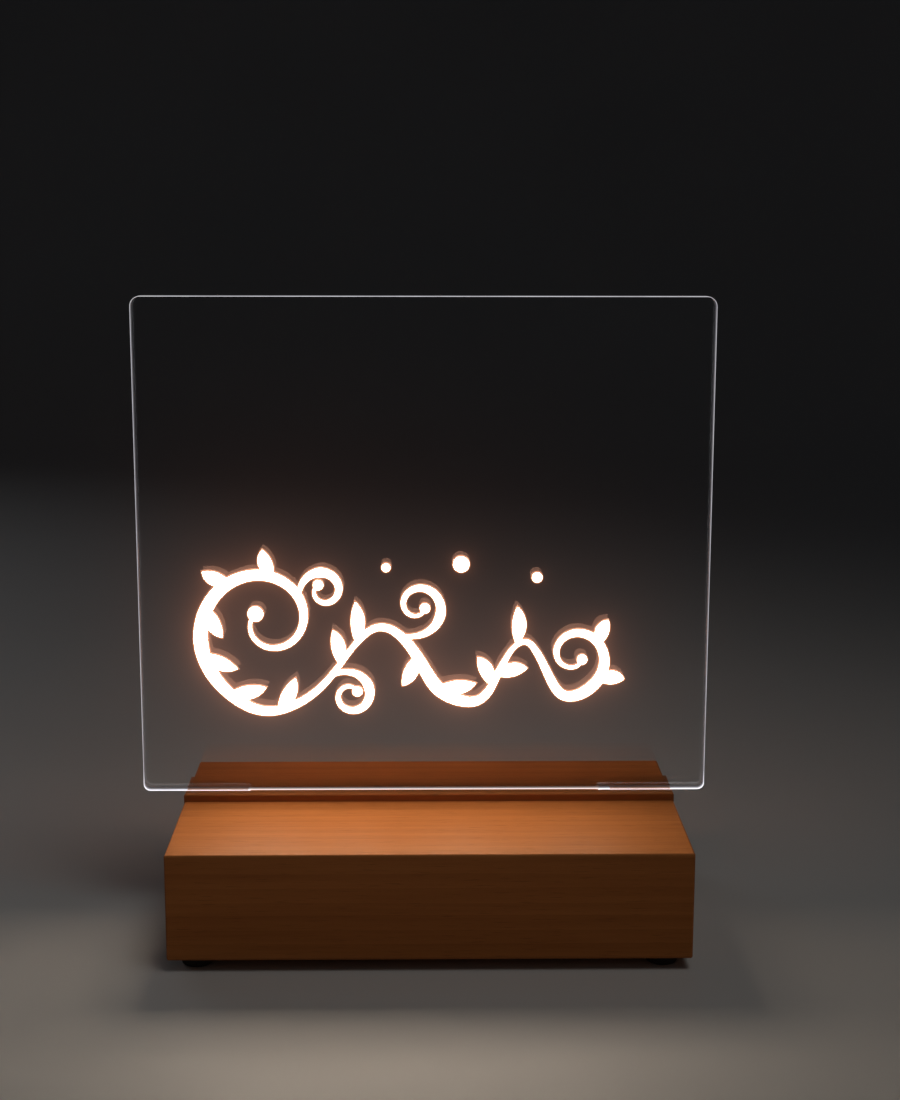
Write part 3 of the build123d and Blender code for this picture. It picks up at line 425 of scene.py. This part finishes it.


# The panel
# Five millimetre clear acrylic, cut and flame polished. Its broad faces are clear. Its edges, its tab in the
# slot and a thin strip of its back face under the rail's top carry a painted glow, brightest near the rail
# and the front face, in place of the lamps' light that travels inside the sheet. It stands loose in the
# rail's slot.
panel_low, panel_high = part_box("acrylic_panel")
shoulder_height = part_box("lamp_rail")[1].z
tab_length = 0.108
top_radius = 0.003
shoulder_radius = 0.002
tab_radius = 0.0015
edge_ease = 0.00012
corner_steps = 10
# The painted glow also covers a strip of the back face this high under the rail's top, for the bright line
# where the panel meets the rail.
painted_glow_strip = 0.0009
square_on = 0.9


def panel_outline(inset):
    """The panel's outline from the front, as (x, z) places, drawn in by inset."""
    half, tab = panel_high.x - inset, tab_length / 2 - inset
    foot, shoulder, top = panel_low.z + inset, shoulder_height + inset, panel_high.z - inset
    corners = [(-tab, foot, tab_radius, 1, 1), (tab, foot, tab_radius, -1, 1), (tab, shoulder, 0, 0, 0),
               (half, shoulder, shoulder_radius, -1, 1), (half, top, top_radius, -1, -1),
               (-half, top, top_radius, 1, -1), (-half, shoulder, shoulder_radius, 1, 1),
               (-tab, shoulder, 0, 0, 0)]
    places = []
    for x, z, radius, to_x, to_z in corners:
        if not radius:
            places.append((x, z))
            continue
        bend = radius - inset
        start = math.atan2(-to_z, -to_x) - math.pi / 4
        for step in range(corner_steps + 1):
            angle = start + math.pi / 2 * step / corner_steps
            places.append((x + bend * (to_x + math.cos(angle)), z + bend * (to_z + math.sin(angle))))
    return places


def add_piece(name, made):
    """Turns a finished bmesh into a piece of the scene."""
    data = bpy.data.meshes.new(name)
    made.to_mesh(data)
    made.free()
    piece = bpy.data.objects.new(name, data)
    bpy.context.collection.objects.link(piece)
    return piece


made = bmesh.new()
depths = [(panel_low.y, edge_ease), (panel_low.y + edge_ease, 0), (panel_high.y - edge_ease, 0),
          (panel_high.y, edge_ease)]
rings = [[made.verts.new((x, y, z)) for x, z in panel_outline(inset)] for y, inset in depths]
made.faces.new(rings[0])
back_face = made.faces.new(reversed(rings[-1]))
for front, back in zip(rings, rings[1:]):
    for index in range(len(front)):
        after = (index + 1) % len(front)
        wall = made.faces.new((front[index], back[index], back[after], front[after]))
        wall.material_index = 1
        wall.smooth = True
# Cuts out that strip of the back face, which then takes the edges' painted glow.
for cut in (shoulder_height, shoulder_height - painted_glow_strip):
    back_part = [face for face in made.faces if face.normal.y > square_on or face == back_face]
    back_sides = [side for side in made.edges if any(face in back_part for face in side.link_faces)]
    bmesh.ops.bisect_plane(made, geom=back_part + back_sides, plane_co=(0, 0, cut), plane_no=(0, 0, 1))
    made.normal_update()
for face in made.faces:
    middle = face.calc_center_median()
    if face.normal.y > square_on and shoulder_height - painted_glow_strip < middle.z < shoulder_height:
        face.material_index = 1
clear_panel = add_piece("clear_panel", made)
clear_panel.data.set_sharp_from_angle(angle=math.radians(35))
sheet = Finish("clear_acrylic", {"Base Color": (0.985, 0.992, 1.0, 1), "Transmission Weight": 1.0,
                                 "IOR": 1.49})
sheet.set("Roughness", sheet.ramp(sheet.grain(0.012, detail=6, rough=0.7), (0.55, 0.0), (0.80, 0.02)))
sheet.bump(sheet.grain(0.05, detail=1), 0.00001, 0.2)
clear_panel.data.materials.append(sheet.material)
# Painted glow: the edges and the tab in the slot are given their own light in place of the lamps' light
# carried in the sheet. It is brightest near the front face and towards the rail, and warmer and stronger in
# the slot.
edge_glow_paint = Finish("painted_edge_glow", {"Base Color": (0.10, 0.09, 0.09, 1), "Roughness": 0.25})
painted_slot_glow = 1.7
least_painted_glow = 0.06
painted_glow_falloff = 2.5
painted_glow_reach = 0.006
above_table = edge_glow_paint.along("Z")
in_slot = edge_glow_paint.math("LESS_THAN", above_table, shoulder_height - edge_ease)
cool = edge_glow_paint.ramp(edge_glow_paint.grain(0.012, detail=3, rough=0.6), (0.30, (0.74, 0.72, 0.78)),
                        (0.55, (0.90, 0.89, 0.97)), (0.75, (1.0, 1.0, 1.0)))
edge_glow_paint.set("Emission Color", edge_glow_paint.mix(in_slot, cool, (1.0, 0.80, 0.74, 1)))
near_front = edge_glow_paint.add("MapRange", {"Value": edge_glow_paint.along("Y"), "From Min": panel_high.y,
                                          "From Max": panel_low.y})
below = edge_glow_paint.add("MapRange", {"Value": above_table, "From Min": shoulder_height,
                                     "From Max": shoulder_height - painted_glow_strip})
lit = edge_glow_paint.math("POWER", edge_glow_paint.math("MAXIMUM", near_front, below), painted_glow_falloff)
painted_glow_near_rail = edge_glow_paint.add("MapRange", {"Value": above_table, "From Min": shoulder_height + painted_glow_reach,
                                          "From Max": shoulder_height, "To Min": 0.75, "To Max": 2.4})
glow = edge_glow_paint.mix(in_slot, painted_glow_near_rail, (painted_slot_glow, painted_slot_glow, painted_slot_glow, 1))
edge_glow_paint.set("Emission Strength", edge_glow_paint.math("MULTIPLY_ADD", lit, glow, least_painted_glow))
edge_glow_paint.bump(edge_glow_paint.grain(0.0006, (1, 0.2, 1)), 0.00002, 0.5)
clear_panel.data.materials.append(edge_glow_paint.material)
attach(clear_panel, "panel")
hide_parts("acrylic_panel")


# The engraving
# A leafy vine between two scrolls, cut a third of a millimetre into the panel's front face and filled with
# white lacquer. The lacquer carries a painted glow in place of the lamps' light that the cut throws
# forwards: brightest on its face, dimmer and redder in two painted rim bands round each stroke, and a dim
# orange on its back and cut walls.
# Widths of the two rim bands round each stroke that carry a dimmer, redder painted glow.
painted_glow_rim_widths = (0.00028, 0.00016)
longest_inset_share = 2
proud = 0.00002
sliver = 0.00001
carved = bmesh.new()
carved.from_mesh(nodes["engraved_motif"].data)
bmesh.ops.remove_doubles(carved, verts=carved.verts, dist=sliver)
bmesh.ops.dissolve_degenerate(carved, edges=carved.edges, dist=sliver)
front_faces = [face for face in carved.faces if face.normal.y < -square_on]
for face in carved.faces:
    face.material_index = 1
for index, width in enumerate(painted_glow_rim_widths, 2):
    rim = bmesh.ops.inset_region(carved, faces=front_faces, thickness=width, use_even_offset=True)["faces"]
    inner_verts = {vert for face in front_faces for vert in face.verts}
    longest = longest_inset_share * width
    for side in [side for face in rim for side in face.edges]:
        for inner, outer in (side.verts, reversed(side.verts)):
            if inner in inner_verts and outer not in inner_verts and side.calc_length() > longest:
                inner.co = outer.co + (inner.co - outer.co).normalized() * longest
    for face in rim:
        face.material_index = index
for face in front_faces:
    face.material_index = 0
for vert in carved.verts:
    if vert.co.y < panel_low.y + proud:
        vert.co.y = panel_low.y - proud
glowing_ornament = add_piece("glowing_ornament", carved)


def lacquer(name, strength, low, high):
    """White lacquer with a painted glow of its own, a little uneven, in place of the light in the
    sheet shining through it.
    """
    paint = Finish(name, {"Base Color": (0.9, 0.86, 0.80, 1), "Roughness": 0.5,
                          "Emission Strength": strength})
    paint.set("Emission Color", paint.ramp(paint.grain(0.010, detail=2), (0.3, low), (0.7, high)))
    paint.bump(paint.grain(0.0005), 0.00002, 0.5)
    glowing_ornament.data.materials.append(paint.material)


# Painted glow: the face of each stroke is brightest, its back and cut walls are a dim orange, the outer rim
# band is dim red and the inner one is amber.
lacquer("lacquer_painted_core_glow", 25.0, (0.85, 0.70, 0.54), (1.0, 0.84, 0.67))
lacquer("lacquer_painted_back_glow", 3.4, (0.9, 0.40, 0.25), (1.0, 0.48, 0.31))
lacquer("lacquer_painted_rim_glow", 0.45, (0.80, 0.21, 0.06), (1.0, 0.30, 0.10))
lacquer("lacquer_painted_inner_rim_glow", 1.6, (0.85, 0.42, 0.17), (1.0, 0.52, 0.23))
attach(glowing_ornament, "panel")
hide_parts("engraved_motif")


# The picture
# The lens spreads the brightest light a little, which gives the engraving its soft halo. The colours have no
# film curve, so the glow stays white with amber rims.
scene = bpy.context.scene
scene.view_settings.view_transform = "Standard"
scene.use_nodes = True
tree = scene.node_tree
tree.nodes.clear()
layers = tree.nodes.new("CompositorNodeRLayers")
halo = tree.nodes.new("CompositorNodeGlare")
halo.glare_type = "BLOOM"
halo.inputs["Threshold"].default_value = 2.0
halo.inputs["Strength"].default_value = 0.045
halo.inputs["Size"].default_value = 0.45
halo.inputs["Tint"].default_value = (1.0, 0.42, 0.28, 1)
picture = tree.nodes.new("CompositorNodeComposite")
tree.links.new(layers.outputs["Image"], halo.inputs["Image"])
tree.links.new(halo.outputs["Image"], picture.inputs["Image"])
